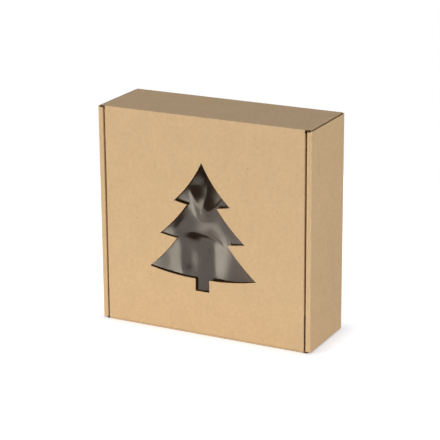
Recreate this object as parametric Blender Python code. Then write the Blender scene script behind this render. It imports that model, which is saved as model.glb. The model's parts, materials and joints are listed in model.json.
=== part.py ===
"""Window gift box in kraft corrugated board, with a tree-shaped window in its lid.

One die-cut blank of E-flute board is folded up. Its side walls roll over a ridge, lock into
slots in the base and clamp the corner flaps of the hinge wall and the front wall. The lid
hangs from the hinge wall at the top front edge, and its tuck flap, tuck ears and dust flaps
fold into the box. A clear film is glued behind the window.

The box stands on its front wall with the lid facing -Y. Metres, +Z up, X is the width. The
origin is the middle of the box's foot. Left is -X and right is +X, as seen from the lid.
"""

import math

import bmesh
import bpy
from mathutils import Matrix, Vector

# The inside of the box, which is how boxes of this style are sold
INSIDE_WIDTH = 0.300
INSIDE_DEPTH = 0.100
INSIDE_HEIGHT = 0.300

# The board and what folding it takes
BOARD = 0.0016
FOLD_RADIUS = 0.0012
FOLDING_PLAY = 0.0008
SEAT_GAP = 0.0003
CUT_OVERRUN = 0.004

# Side walls, rolled over a flat ridge
RIDGE_WIDTH = 0.007
RIDGE_RECESS = 0.0026
WALL_RECESS = 0.0012
INNER_WALL_PLAY = 0.0008
TAB_LENGTH = 0.045
TAB_RECESS = 0.0001
TAB_PLACE_SHARES = (0.25, 0.75)
SLOT_PLAY = 0.0005

# Corner flaps, clamped between the outer and the inner side walls
CORNER_FLAP_LENGTH = 0.095
CORNER_FLAP_TAPER = 0.006
CORNER_FLAP_PLAY = 0.0004
CORNER_FLAP_RADIUS = 0.008
FRONT_EDGE_RECESS = 0.0002

# Lid and its flaps; each lean is how far past a square fold the flap is pushed in
LID_GAP = 0.0027
TUCK_DEPTH = 0.045
TUCK_LEAN = math.radians(9.5)
TUCK_ROOT_CUT = 0.007
TUCK_SIDE_PLAY = 0.001
TUCK_CORNER_RADIUS = 0.003
EAR_HEIGHT = 0.035
EAR_LEAN = math.radians(4)
EAR_TAPER = 0.003
EAR_RADIUS = 0.010
DUST_FLAP_DEPTH = 0.030
DUST_FLAP_LEAN = math.radians(6)
DUST_FLAP_TAPER = math.radians(30)
DUST_FLAP_HINGE_CLEARANCE = 0.004
DUST_FLAP_EAR_CLEARANCE = 0.005
DUST_FLAP_RADIUS = 0.008

# Tree window, its heights shared out from the trunk's foot and its half widths from the axis
TREE_WIDTH = 0.160
TREE_FOOT = 0.062
TREE_TOP_MARGIN = 0.062
TREE_OFFSET = -0.0019
TIER_TIP_HEIGHT_SHARES = (0.142, 0.415, 0.686)
TIER_TIP_WIDTH_SHARES = (1.0, 0.791, 0.521)
TIER_INNER_HEIGHT_SHARES = (0.096, 0.394, 0.665)
TIER_INNER_WIDTH_SHARES = (0.130, 0.470, 0.278)
TIER_SIDE_BOW_SHARES = (0.032, 0.030, 0.047)
TIER_UNDERSIDE_BOW_SHARES = (-0.030, -0.010, -0.010)
SIDE_STEPS = 6
UNDERSIDE_STEPS = 4

# Film behind the window and the line of glue that holds it
FILM = 0.00015
FILM_MARGIN = 0.015
GLUE = 0.0002
GLUE_WIDTH = 0.005
GLUE_EDGE = 0.003

# Sizes that follow
WIDTH = INSIDE_WIDTH + 2 * RIDGE_WIDTH
DEPTH = INSIDE_DEPTH + 2 * BOARD + FOLDING_PLAY
HEIGHT = INSIDE_HEIGHT + 2 * BOARD + FOLDING_PLAY
BACK = DEPTH / 2
FRONT = -DEPTH / 2
NOSE_RADIUS = BOARD / 2
ROOT = NOSE_RADIUS + SEAT_GAP
MITRE_GAP = SEAT_GAP / math.sqrt(2)
END_WALL_HALF = INSIDE_WIDTH / 2 + 2 * BOARD + CORNER_FLAP_PLAY
LID_HALF = INSIDE_WIDTH / 2 - LID_GAP
LID_PLANE = FRONT + BOARD / 2
HINGE_AXIS = Vector((0, LID_PLANE, HEIGHT - BOARD / 2))
TUCK_AXIS = Vector((0, LID_PLANE, BOARD + SEAT_GAP + NOSE_RADIUS))
TUCK_HALF = LID_HALF - TUCK_SIDE_PLAY
TREE_HEIGHT = HEIGHT - TREE_FOOT - TREE_TOP_MARGIN

# How an edge of a panel is made: cut, creased against a fixed neighbour, or creased and turning
CUT = "cut"
FOLD = "fold"
NOSE = "nose"
ARC_STEPS = 5
FOLD_STEPS = 2
NOSE_STEPS = 6
EIGHTH_TURN = math.pi / 4
STRAIGHT_ON = 1e-6
SIDES = (("left", -1), ("right", 1))

X = Vector((1, 0, 0))
Y = Vector((0, 1, 0))
Z = Vector((0, 0, 1))


def clear_scene():
    """Removes every object, so that the model starts from an empty scene."""
    for old in list(bpy.data.objects):
        bpy.data.objects.remove(old)


def linear(hex_colour):
    """A six-digit sRGB colour as linear red, green, blue and full opacity."""
    values = [int(hex_colour[i : i + 2], 16) / 255 for i in (0, 2, 4)]
    return [v / 12.92 if v <= 0.04045 else ((v + 0.055) / 1.055) ** 2.4 for v in values] + [1]


def finish(name, hex_colour, roughness, opacity=1.0):
    """A plain surface of one colour. Nothing on the box is metal."""
    material = bpy.data.materials.new(name)
    material.use_nodes = True
    shader = material.node_tree.nodes["Principled BSDF"]
    shader.inputs["Base Color"].default_value = linear(hex_colour)
    shader.inputs["Roughness"].default_value = roughness
    shader.inputs["Metallic"].default_value = 0
    shader.inputs["Alpha"].default_value = opacity
    return material


def kraft(name):
    """Brown kraft liner, as on both faces of the board."""
    return finish(name + "_kraft", "D3B386", 0.9)


def inset_of(style, depth):
    """How far an edge lies inside its own line at this depth below the outer face.

    A folded edge is rounded outside and then mitred to meet its neighbour. A nose is a half
    round whose middle is the crease's axis.
    """
    if style == NOSE:
        rise = NOSE_RADIUS - depth
        return NOSE_RADIUS - math.sqrt(max(0, NOSE_RADIUS**2 - rise**2))
    if style == FOLD:
        rise = FOLD_RADIUS - depth
        if rise > FOLD_RADIUS * math.cos(EIGHTH_TURN):
            return MITRE_GAP + FOLD_RADIUS - math.sqrt(FOLD_RADIUS**2 - rise**2)
        return MITRE_GAP + depth
    return 0


def depths_of(styles):
    """The depths below the outer face at which the edges of these styles change direction."""
    depths = {0, BOARD}
    if FOLD in styles:
        turns = [EIGHTH_TURN * (k + 1) / FOLD_STEPS for k in range(FOLD_STEPS)]
        depths |= {FOLD_RADIUS * (1 - math.cos(turn)) for turn in turns}
    if NOSE in styles:
        turns = [math.pi * k / NOSE_STEPS for k in range(1, NOSE_STEPS)]
        depths |= {NOSE_RADIUS * (1 - math.cos(turn)) for turn in turns}
    return sorted(depths)


def inset_loop(outline, depth):
    """The outline at this depth: each edge moved in by its own inset, corners recomputed."""
    lines = []
    for i, (x, y, style) in enumerate(outline):
        following = outline[(i + 1) % len(outline)]
        start = Vector((x, y))
        along = (Vector(following[:2]) - start).normalized()
        inward = Vector((-along.y, along.x))
        lines.append((start + inward * inset_of(style, depth), along))
    loop = []
    for i, (start, along) in enumerate(lines):
        before_start, before_along = lines[i - 1]
        turn = before_along.cross(along)
        if abs(turn) < STRAIGHT_ON:
            loop.append(start)
            continue
        reach = (start - before_start).cross(along) / turn
        loop.append(before_start + before_along * reach)
    return loop


def outline_of(corners):
    """Turns corners, each (x, y, style of the edge that leaves it, radius), into an outline."""
    outline = []
    for i, (x, y, style, radius) in enumerate(corners):
        if not radius:
            outline.append((x, y, style))
            continue
        corner = Vector((x, y))
        back = (Vector(corners[i - 1][:2]) - corner).normalized()
        ahead = (Vector(corners[(i + 1) % len(corners)][:2]) - corner).normalized()
        half = math.acos(max(-1, min(1, back.dot(ahead)))) / 2
        middle = corner + (back + ahead).normalized() * radius / math.sin(half)
        start = corner + back * radius / math.tan(half) - middle
        sweep = math.pi - 2 * half
        turn = 1 if back.cross(ahead) < 0 else -1
        for k in range(ARC_STEPS + 1):
            spoke = Matrix.Rotation(turn * sweep * k / ARC_STEPS, 2) @ start + middle
            outline.append((spoke.x, spoke.y, style if k == ARC_STEPS else CUT))
    return outline


def mirrored(outline):
    """The outline reflected in its y axis, still running anticlockwise."""
    count = len(outline)
    return [
        (-outline[count - 1 - j][0], outline[count - 1 - j][1], outline[(count - 2 - j) % count][2])
        for j in range(count)
    ]


def rectangle(x_low, x_high, y_low, y_high, bottom=CUT, right=CUT, top=CUT, left=CUT):
    """A rectangular outline with a style for each of its four edges."""
    return [
        (x_low, y_low, bottom),
        (x_high, y_low, right),
        (x_high, y_high, top),
        (x_low, y_high, left),
    ]


def frame(origin, x_axis, y_axis):
    """A panel's own frame: its outline lies in x and y, and its outer face looks along z."""
    z_axis = x_axis.cross(y_axis)
    matrix = Matrix((x_axis, y_axis, z_axis)).transposed().to_4x4()
    matrix.translation = origin
    return matrix


def add_object(name, mesh, place, material, parent=None):
    """Puts a mesh into the scene at its place, carried by its parent if it has one."""
    obj = bpy.data.objects.new(name, mesh)
    bpy.context.collection.objects.link(obj)
    if material:
        mesh.materials.append(material)
    if parent:
        obj.parent = parent
        obj.matrix_parent_inverse = parent.matrix_world.inverted()
    obj.matrix_basis = place
    bpy.context.view_layer.update()
    return obj


def stacked_mesh(name, loops, heights):
    """A closed mesh through outlines of the same number of points, the first one on top."""
    shape = bmesh.new()
    rings = [
        [shape.verts.new((point.x, point.y, height)) for point in loop]
        for loop, height in zip(loops, heights)
    ]
    shape.faces.new(rings[0])
    shape.faces.new(reversed(rings[-1]))
    for upper, lower in zip(rings, rings[1:]):
        for i, corner in enumerate(upper):
            j = (i + 1) % len(upper)
            shape.faces.new((corner, lower[i], lower[j], upper[j]))
    bmesh.ops.recalc_face_normals(shape, faces=shape.faces)
    mesh = bpy.data.meshes.new(name)
    shape.to_mesh(mesh)
    shape.free()
    return mesh


def panel(name, outline, place, outer_at=0.0, parent=None):
    """One flat panel of board. outer_at is the height of its outer face in its own frame."""
    depths = depths_of({style for _, _, style in outline})
    loops = [inset_loop(outline, depth) for depth in depths]
    mesh = stacked_mesh(name, loops, [outer_at - depth for depth in depths])
    return add_object(name, mesh, place, kraft(name), parent)


def sheet_mesh(name, outline, top, thickness):
    """A flat sheet whose edges are all cut square."""
    loop = [Vector(point[:2]) for point in outline]
    return stacked_mesh(name, [loop, loop], [top, top - thickness])


def cutter(name, outline, place, top, thickness):
    """A guide solid that only cuts: hidden in renders and drawn as wire."""
    obj = add_object(name, sheet_mesh(name, outline, top, thickness), place, None)
    obj.hide_render = True
    obj.display_type = "WIRE"
    return obj


def cut(obj, tool):
    """Cuts the tool's shape out of the object."""
    boolean = obj.modifiers.new(tool.name, "BOOLEAN")
    boolean.operation = "DIFFERENCE"
    boolean.solver = "EXACT"
    boolean.object = tool


def bowed(start, end, bow_share, steps):
    """Points from start to just before end, bowed to the left by a share of their distance."""
    along = end - start
    left = Vector((-along.y, along.x))
    points = []
    for k in range(steps):
        t = k / steps
        points.append(start + along * t + left * bow_share * 4 * t * (1 - t))
    return points


def tree_outline():
    """The window's outline, anticlockwise: up the right side from the foot, then mirrored."""
    half = TREE_WIDTH / 2
    tips = [
        Vector((half * w, TREE_HEIGHT * h))
        for w, h in zip(TIER_TIP_WIDTH_SHARES, TIER_TIP_HEIGHT_SHARES)
    ]
    inner = [
        Vector((half * w, TREE_HEIGHT * h))
        for w, h in zip(TIER_INNER_WIDTH_SHARES, TIER_INNER_HEIGHT_SHARES)
    ]
    apex = Vector((0, TREE_HEIGHT))
    right = [Vector((inner[0].x, 0))]
    for i, tip in enumerate(tips):
        above = inner[i + 1] if i + 1 < len(inner) else apex
        right += bowed(inner[i], tip, TIER_UNDERSIDE_BOW_SHARES[i], UNDERSIDE_STEPS)
        right += bowed(tip, above, TIER_SIDE_BOW_SHARES[i], SIDE_STEPS)
    left = [Vector((-point.x, point.y)) for point in reversed(right)]
    return [(point.x, point.y, CUT) for point in right + [apex] + left]


def make_base():
    """The back of the standing box: a full panel with two slots at each side."""
    place = frame(Vector((0, BACK, 0)), -X, Z)
    outline = rectangle(-WIDTH / 2, WIDTH / 2, 0, HEIGHT, FOLD, FOLD, FOLD, FOLD)
    base = panel("base_panel", outline, place)
    slot_half = TAB_LENGTH / 2 + SLOT_PLAY
    for side, sign in SIDES:
        for end, share in zip(("front", "hinge"), TAB_PLACE_SHARES):
            near = -sign * (INSIDE_WIDTH / 2 - SEAT_GAP)
            far = -sign * (INSIDE_WIDTH / 2 + BOARD + SEAT_GAP)
            slot = rectangle(
                min(near, far),
                max(near, far),
                HEIGHT * share - slot_half,
                HEIGHT * share + slot_half,
            )
            name = f"{side}_{end}_slot_cutter"
            tool = cutter(name, slot, place, CUT_OVERRUN, BOARD + 2 * CUT_OVERRUN)
            cut(base, tool)
    return base


def make_end_walls(base):
    """The hinge wall on top and the front wall underneath, both folded from the base."""
    notch = LID_HALF + SEAT_GAP
    front = DEPTH - SEAT_GAP
    hinge_outline = [
        (-END_WALL_HALF, 0, FOLD),
        (END_WALL_HALF, 0, FOLD),
        (END_WALL_HALF, front, CUT),
        (notch, front, CUT),
        (notch, DEPTH - NOSE_RADIUS - ROOT, CUT),
        (-notch, DEPTH - NOSE_RADIUS - ROOT, CUT),
        (-notch, front, CUT),
        (-END_WALL_HALF, front, FOLD),
    ]
    panel("hinge_wall", hinge_outline, frame(Vector((0, BACK, HEIGHT)), -X, -Y), parent=base)
    front_outline = rectangle(
        -END_WALL_HALF, END_WALL_HALF, 0, DEPTH - FRONT_EDGE_RECESS, FOLD, FOLD, CUT, FOLD
    )
    panel("front_wall", front_outline, frame(Vector((0, BACK, 0)), X, -Y), parent=base)


def make_side_walls(base):
    """Each side: an outer wall, the ridge it rolls over, and an inner wall with two tabs."""
    for side, sign in SIDES:
        outer = rectangle(FRONT, BACK, WALL_RECESS, HEIGHT - WALL_RECESS, right=FOLD, left=FOLD)
        outer_place = frame(Vector((sign * WIDTH / 2, 0, 0)), sign * Y, Z)
        panel(f"{side}_outer_wall", outer, outer_place, parent=base)

        ridge = rectangle(
            -RIDGE_WIDTH / 2,
            RIDGE_WIDTH / 2,
            RIDGE_RECESS,
            HEIGHT - RIDGE_RECESS,
            right=FOLD,
            left=FOLD,
        )
        ridge_middle = sign * (WIDTH / 2 - RIDGE_WIDTH / 2)
        panel(f"{side}_ridge", ridge, frame(Vector((ridge_middle, FRONT, 0)), X, Z), parent=base)

        inner = inner_wall_outline()
        inner_place = frame(Vector((sign * INSIDE_WIDTH / 2, FRONT, 0)), -sign * Y, Z)
        panel(
            f"{side}_inner_wall", inner if sign < 0 else mirrored(inner), inner_place, parent=base
        )


def inner_wall_outline():
    """The left inner wall: the ridge's crease at x = 0, and two tabs through the base."""
    foot = BOARD + INNER_WALL_PLAY
    back_edge = DEPTH - BOARD - SEAT_GAP
    tab_end = DEPTH - TAB_RECESS
    outline = [(0, foot, CUT), (back_edge, foot, CUT)]
    for share in TAB_PLACE_SHARES:
        low = HEIGHT * share - TAB_LENGTH / 2
        high = HEIGHT * share + TAB_LENGTH / 2
        outline += [
            (back_edge, low, CUT),
            (tab_end, low, CUT),
            (tab_end, high, CUT),
            (back_edge, high, CUT),
        ]
    return outline + [(back_edge, HEIGHT - foot, CUT), (0, HEIGHT - foot, FOLD)]


def make_corner_flaps(base):
    """Four flaps that turn in from the end walls and are clamped inside the side walls."""
    root_half = INSIDE_DEPTH / 2 - CORNER_FLAP_PLAY
    tip_half = root_half - CORNER_FLAP_TAPER
    outline = outline_of(
        [
            (-root_half, 0, FOLD, 0),
            (root_half, 0, CUT, 0),
            (tip_half, CORNER_FLAP_LENGTH, CUT, CORNER_FLAP_RADIUS),
            (-tip_half, CORNER_FLAP_LENGTH, CUT, CORNER_FLAP_RADIUS),
        ]
    )
    for side, sign in SIDES:
        top = frame(Vector((sign * END_WALL_HALF, 0, HEIGHT)), -sign * Y, -Z)
        foot = frame(Vector((sign * END_WALL_HALF, 0, 0)), sign * Y, Z)
        panel(f"hinge_{side}_corner_flap", outline, top, parent=base)
        panel(f"front_{side}_corner_flap", outline, foot, parent=base)


def make_lid(base):
    """The lid, whose origin is on the hinge's axis, with the tree cut out of it."""
    foot = TUCK_AXIS.z - NOSE_RADIUS - HINGE_AXIS.z
    outline = rectangle(-LID_HALF, LID_HALF, foot, NOSE_RADIUS, NOSE, NOSE, NOSE, NOSE)
    lid = panel("lid_panel", outline, frame(HINGE_AXIS, X, Z), NOSE_RADIUS, base)
    tree_place = frame(Vector((TREE_OFFSET, LID_PLANE, TREE_FOOT)), X, Z)
    tool = cutter("tree_cutter", tree_outline(), tree_place, CUT_OVERRUN, 2 * CUT_OVERRUN)
    cut(lid, tool)
    return lid


def make_tuck(lid):
    """The tuck flap inside the front wall, and the ear that stands up at each of its ends."""
    away = Y * math.cos(TUCK_LEAN) + Z * math.sin(TUCK_LEAN)
    up = Z * math.cos(TUCK_LEAN) - Y * math.sin(TUCK_LEAN)
    root_half = TUCK_HALF - TUCK_ROOT_CUT
    ear_start = TUCK_ROOT_CUT
    ear_end = TUCK_DEPTH - TUCK_CORNER_RADIUS
    outline = outline_of(
        [
            (-root_half, ROOT, CUT, 0),
            (root_half, ROOT, CUT, 0),
            (TUCK_HALF, ear_start, NOSE, 0),
            (TUCK_HALF, ear_end, CUT, 0),
            (root_half, TUCK_DEPTH, CUT, TUCK_CORNER_RADIUS),
            (-root_half, TUCK_DEPTH, CUT, TUCK_CORNER_RADIUS),
            (-TUCK_HALF, ear_end, NOSE, 0),
            (-TUCK_HALF, ear_start, CUT, 0),
        ]
    )
    tuck = panel("tuck_flap", outline, frame(TUCK_AXIS, -X, away), NOSE_RADIUS, lid)

    ear_middle = (ear_start + ear_end) / 2
    ear_half = (ear_end - ear_start) / 2 - EAR_TAPER
    ear = outline_of(
        [
            (-ear_half, ROOT, CUT, 0),
            (ear_half, ROOT, CUT, 0),
            (ear_half - EAR_TAPER, EAR_HEIGHT, CUT, EAR_RADIUS),
            (EAR_TAPER - ear_half, EAR_HEIGHT, CUT, EAR_RADIUS),
        ]
    )
    for side, sign in SIDES:
        axis_point = TUCK_AXIS + sign * X * (TUCK_HALF - NOSE_RADIUS) + away * ear_middle
        ear_away = up * math.cos(EAR_LEAN) - sign * X * math.sin(EAR_LEAN)
        place = frame(axis_point, sign * away, ear_away)
        panel(f"{side}_tuck_ear", ear, place, NOSE_RADIUS, tuck)


def make_dust_flaps(lid):
    """The lid's two side flaps, tapered towards the hinge and ending above the tuck ears."""
    top = HINGE_AXIS.z - DUST_FLAP_HINGE_CLEARANCE
    foot = TUCK_AXIS.z + EAR_HEIGHT + TUCK_DEPTH * math.sin(TUCK_LEAN) + DUST_FLAP_EAR_CLEARANCE
    slope = (DUST_FLAP_DEPTH - ROOT) / math.tan(DUST_FLAP_TAPER)
    outline = outline_of(
        [
            (foot, ROOT, CUT, 0),
            (top, ROOT, CUT, 0),
            (top - slope, DUST_FLAP_DEPTH, CUT, DUST_FLAP_RADIUS),
            (foot, DUST_FLAP_DEPTH, CUT, DUST_FLAP_RADIUS),
        ]
    )
    for side, sign in SIDES:
        away = Y * math.cos(DUST_FLAP_LEAN) - sign * X * math.sin(DUST_FLAP_LEAN)
        axis_point = Vector((sign * (LID_HALF - NOSE_RADIUS), LID_PLANE, 0))
        place = frame(axis_point, -sign * Z, away)
        shape = mirrored(outline) if sign > 0 else outline
        panel(f"{side}_dust_flap", shape, place, NOSE_RADIUS, lid)


def make_window_film(lid):
    """The clear film behind the tree, and the line of glue round its edge."""
    half_width = TREE_WIDTH / 2 + FILM_MARGIN
    low = -FILM_MARGIN
    high = TREE_HEIGHT + FILM_MARGIN
    lid_back = FRONT + BOARD
    glue_front = lid_back + SEAT_GAP
    film_front = glue_front + GLUE + SEAT_GAP

    glue_place = frame(Vector((TREE_OFFSET, glue_front, TREE_FOOT)), X, Z)
    outer = GLUE_EDGE
    inner = GLUE_EDGE + GLUE_WIDTH
    line = rectangle(outer - half_width, half_width - outer, low + outer, high - outer)
    opening = rectangle(inner - half_width, half_width - inner, low + inner, high - inner)
    mesh = sheet_mesh("film_adhesive", line, 0, GLUE)
    glue = add_object("film_adhesive", mesh, glue_place, finish("clear_glue", "D8D2C0", 0.4), lid)
    tool = cutter("glue_cutter", opening, glue_place, CUT_OVERRUN, 2 * CUT_OVERRUN)
    cut(glue, tool)

    film_place = frame(Vector((TREE_OFFSET, film_front, TREE_FOOT)), X, Z)
    mesh = sheet_mesh("window_film", rectangle(-half_width, half_width, low, high), 0, FILM)
    film = finish("clear_film", "8A857E", 0.12, 0.35)
    add_object("window_film", mesh, film_place, film, lid)


def main():
    clear_scene()
    base = make_base()
    make_end_walls(base)
    make_side_walls(base)
    make_corner_flaps(base)
    lid = make_lid(base)
    make_tuck(lid)
    make_dust_flaps(lid)
    make_window_film(lid)


main()
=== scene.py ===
"""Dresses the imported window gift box: fluted kraft board, bent creases, wrinkled clear film."""

import json
import math

import bmesh
import bpy
from mathutils import Matrix, Vector


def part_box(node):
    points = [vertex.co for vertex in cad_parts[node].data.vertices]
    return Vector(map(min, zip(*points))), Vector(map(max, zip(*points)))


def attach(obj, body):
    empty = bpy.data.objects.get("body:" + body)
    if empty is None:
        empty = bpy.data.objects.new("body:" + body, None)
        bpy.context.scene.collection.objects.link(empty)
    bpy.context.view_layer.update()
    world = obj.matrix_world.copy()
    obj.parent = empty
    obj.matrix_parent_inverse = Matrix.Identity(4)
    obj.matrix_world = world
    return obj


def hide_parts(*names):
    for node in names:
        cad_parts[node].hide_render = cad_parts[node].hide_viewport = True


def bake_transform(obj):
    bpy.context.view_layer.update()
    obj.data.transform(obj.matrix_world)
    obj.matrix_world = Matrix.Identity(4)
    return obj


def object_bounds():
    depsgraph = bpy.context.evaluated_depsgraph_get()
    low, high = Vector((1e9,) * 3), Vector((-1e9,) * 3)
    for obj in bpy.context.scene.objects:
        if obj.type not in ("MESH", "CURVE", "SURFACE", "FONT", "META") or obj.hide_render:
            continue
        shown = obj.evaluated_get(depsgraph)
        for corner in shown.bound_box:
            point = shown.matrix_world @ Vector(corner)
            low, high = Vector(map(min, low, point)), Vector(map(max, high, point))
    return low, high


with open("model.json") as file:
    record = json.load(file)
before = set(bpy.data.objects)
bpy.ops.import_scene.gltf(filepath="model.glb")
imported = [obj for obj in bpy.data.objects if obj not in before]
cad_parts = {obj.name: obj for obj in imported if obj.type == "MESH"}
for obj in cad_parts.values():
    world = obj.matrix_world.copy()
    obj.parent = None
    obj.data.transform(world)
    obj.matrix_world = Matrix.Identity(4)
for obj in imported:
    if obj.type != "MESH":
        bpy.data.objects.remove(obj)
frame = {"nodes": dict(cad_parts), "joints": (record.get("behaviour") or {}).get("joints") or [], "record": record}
CAD_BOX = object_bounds()

bl_info = {
    "name": "Window Gift Box",
    "version": (1, 0, 0),
    "blender": (4, 5, 0),
    "location": "3D View > Sidebar > Gift Box",
    "description": "A kraft corrugated gift box with a tree-shaped window in its lid",
    "category": "Object",
}

Y = Vector((0, 1, 0))
Z = Vector((0, 0, 1))
MM = 0.001
BOX_LOW, BOX_HIGH = CAD_BOX
BOX_MIDDLE = (BOX_LOW + BOX_HIGH) / 2
# When points count as one, directions (by their cosine) as one, and areas (by share) as equal
WELD = 0.00001
SAME_WAY = 0.999
SAME_AREA = 0.001
# How many straight steps make one flute, the bend of an arc and a crease that turns
FLUTE_STEPS = 10
ARC_STEPS = 8
BRIDGE_STEPS = 4
# How far the fluted paper overruns its panel before it's trimmed
OVERRUN = 0.004
# How far the pressed edge stands out past the cut, and how much the knife narrowed it
BEAD_DEPTH = 0.0001
BEAD_RISE = 0.0001
# How much further the creases of the top and the foot run, so that they close the corners
CORNER = 0.0028
# How much further than round the lid's side noses bulge, at its foot and at its hinge
NOSE_TAPER = (1.7, 0.2)
BOARD_MAP = "board"
# How far each way out shifts the board's pattern, so that no two panels are alike
PATTERN_SHIFT = Vector((0.31, 0.57, 0.83))
# Nearly all values of a noise texture lie in this range
NOISE_RANGE = (0.3, 0.7)

LINER, CREASED = "kraft_liner_calendered", "kraft_liner_creased"
MEDIUM = "fluting_medium_and_edge_shade"

SIDES = ("left", "right")
EARS = ("left_tuck_ear", "right_tuck_ear")
DUST_FLAPS = ("left_dust_flap", "right_dust_flap")
WALLS = ("hinge_wall", "front_wall", "left_outer_wall", "right_outer_wall")
ROLLS = ("left_ridge", "right_ridge", "left_inner_wall", "right_inner_wall")
CORNER_FLAPS = tuple(f"{end}_{side}_corner_flap" for end in ("hinge", "front") for side in SIDES)
LID_FLAPS = ("tuck_flap", *EARS, *DUST_FLAPS)
# Panels whose flutes run along y; in the others they run along z, one way all over the blank
FLUTES_ALONG_Y = ("hinge_wall", "front_wall", "tuck_flap", *EARS, *CORNER_FLAPS)
# Panels whose creases run the panel's whole length
FULL_LENGTH = ("left_outer_wall", "right_outer_wall")
FIXED_CREASES = (
    *(("base_panel", wall) for wall in WALLS),
    *((f"{side}_outer_wall", f"{side}_ridge") for side in SIDES),
    *((f"{side}_ridge", f"{side}_inner_wall") for side in SIDES),
    *((f"{flap.split('_')[0]}_wall", flap) for flap in CORNER_FLAPS),
)
# Each joint with the panel that ends at its axis and the panel that ends a little before it
TURNING_CREASES = (
    ("lid_hinge", "lid_panel", "hinge_wall"),
    ("tuck_fold", "lid_panel", "tuck_flap"),
    *((f"{side}_ear_fold", "tuck_flap", f"{side}_tuck_ear") for side in SIDES),
    *((f"{side}_dust_fold", "lid_panel", f"{side}_dust_flap") for side in SIDES),
)
# How far in from its edge the film is held, and where it hangs free
FILM_HELD = 0.0075
FILM_FREE = 0.016
# How far it can go out past the lid's back, in mm like all its folds below
FILM_SLACK = 0.5
# How deep it sags, the z where that starts, is deepest and ends, its middle and its half width
FILM_SAG = 2.6
SAG_HEIGHTS = (10, 240, 258)
SAG_MIDDLE = -2
SAG_HALF = 95
# A pleat's depth stays the same further than this to its side
PLEAT_LIMIT = 60
# The film's dents: the x and z of the middle, half the width and height, and the depth
FILM_DENTS = {
    "oval": (-9, 206, 11, 10, 0.8),
    "lobe": (20, 222, 24, 32, 2.9),
    "low_middle": (-24, 104, 12, 16, 1.3),
}
# Its pleats: the x and z of both ends, the widths on both sides, the depth, how soon the ends
# fade, and the bow
FILM_PLEATS = {
    "far_left": (-54, 60, -52, 125, 12, 8, 0.7),
    "low_left": (-31, 70, -34, 136, 7, 4, -1.0),
    "low_right": (11, 60, 8, 139, 8, 15, 3.2, 0.22),
    "below_middle": (-32, 142, 22, 134, 25, 45, 2.6, 0.7),
    "left_tip": (-58, 131, -26, 163, 8, 14, -2.1, 0.5),
    "middle": (-24, 142, 26, 129, 14, 9, 0.9, 0.4, 3.5),
    "middle_dark": (-30, 143, -12, 141, 12, 6, 2.0, 1.0),
    "middle_sharp": (-22, 142, 24, 129.5, 1.3, 1.2, 0.6, 0.1, 3.5),
    "hollow_left": (-5, 168, -22, 200, 1.8, 7, -0.6, 0.15),
    "hollow_right": (0, 163, 2, 190, 7, 5, -2.4, 0.25),
    "hollow_top": (1, 186, 4, 208, 2, 3, -0.3, 0.2),
    "lobe_edge": (-2, 163, 31, 199, 18, 1.5, -1.2, 0.15, -4),
    "upper_left": (-54, 184, -24, 182, 14, 60, 0.35, 0.6),
    "right_tip": (32, 176, 58, 178, 12, 40, 0.9, 0.5),
}
GLUE_WIDTH = 0.005
GLUE_STEP = 0.003
# Each lamp's distance from the box, width and height
KEY_LAMP = (5.5, 3.1, 2.5)
SIDE_LAMP = (2.2, 1.2, 1.2)
# Where mirrored light ends and where it's full: on the table, ahead of the box, and up in the
# room, where 1 is overhead
WINDOW_ON_TABLE = (0.16, 0.32)
WINDOW_TOP = (0.6, 0.35)
ABOVE_FOOT = (0.45, 0.6)
ABOVE_TOP = (0.9, 0.8)
TABLE_SIDES = 128
# The table's painted dark colour: far out, where the film mirrors it, as a painted dark reflection, and for light
# that goes through the film into the box, as painted shade
TABLE_PAINTED_DARK = (0.01, 0.01, 0.01)
PANEL_BODIES = {
    node: body
    for body, nodes in frame["record"]["behaviour"]["bodies"].items()
    for node in nodes
}


def linear(hex_colour):
    """A six-digit sRGB colour as linear red, green and blue."""
    values = [int(hex_colour[i : i + 2], 16) / 255 for i in (0, 2, 4)]
    return tuple(v / 12.92 if v <= 0.04045 else ((v + 0.055) / 1.055) ** 2.4 for v in values)


def length(name, description, default):
    """A property that is a length."""
    return bpy.props.FloatProperty(
        name=name, description=description, default=default, unit="LENGTH", precision=5
    )


def colour(name, description, default):
    """A property that is a colour, its default an sRGB hex value."""
    return bpy.props.FloatVectorProperty(
        name=name, description=description, default=linear(default), subtype="COLOR"
    )


def angle(name, description, default):
    """A property that is an angle, its default in degrees."""
    return bpy.props.FloatProperty(
        name=name, description=description, default=math.radians(default), subtype="ANGLE"
    )


def number(name, description, default):
    """A property that is a plain number."""
    return bpy.props.FloatProperty(name=name, description=description, default=default)


class BoardSettings(bpy.types.PropertyGroup):
    """The make-up of the corrugated board."""

    liner: length("Liner", "Thickness of each face paper", 0.00025)
    medium: length("Medium", "Thickness of the fluted paper", 0.00016)
    flute_pitch: length("Flute Pitch", "Distance from one flute to the next", 0.0033)
    fold_radius: length("Fold Radius", "Outer radius of a fixed fold", 0.0008)
    liner_colour: colour("Liner Colour", "Unbleached kraft liner", "D3B187")
    crease_colour: colour("Crease Colour", "Liner that a crease has stretched", "D7B68C")
    speck_colour: colour("Speck Colour", "Bark and dark fibres in the liner", "8F6B40")
    fleck_colour: colour("Fleck Colour", "Pale fibres in the liner", "E6D0AA")
    # Also the colour of the board's cut edges, there partly painted shade of the seams
    medium_colour: colour("Medium Colour", "Fluted paper, darker than the liner", "7A5830")


class WindowSettings(bpy.types.PropertyGroup):
    """The clear film behind the tree, and its glue."""

    film_colour: colour("Film Colour", "What light keeps when it passes a face", "FBF9F6")
    film_roughness: number("Film Roughness", "How much the film blurs what it mirrors", 0.06)
    film_step: length("Film Step", "From one row of points to the next", 0.0012)
    glue_colour: colour("Glue Colour", "Dried glue, milky", "D8D2C0")


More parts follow.
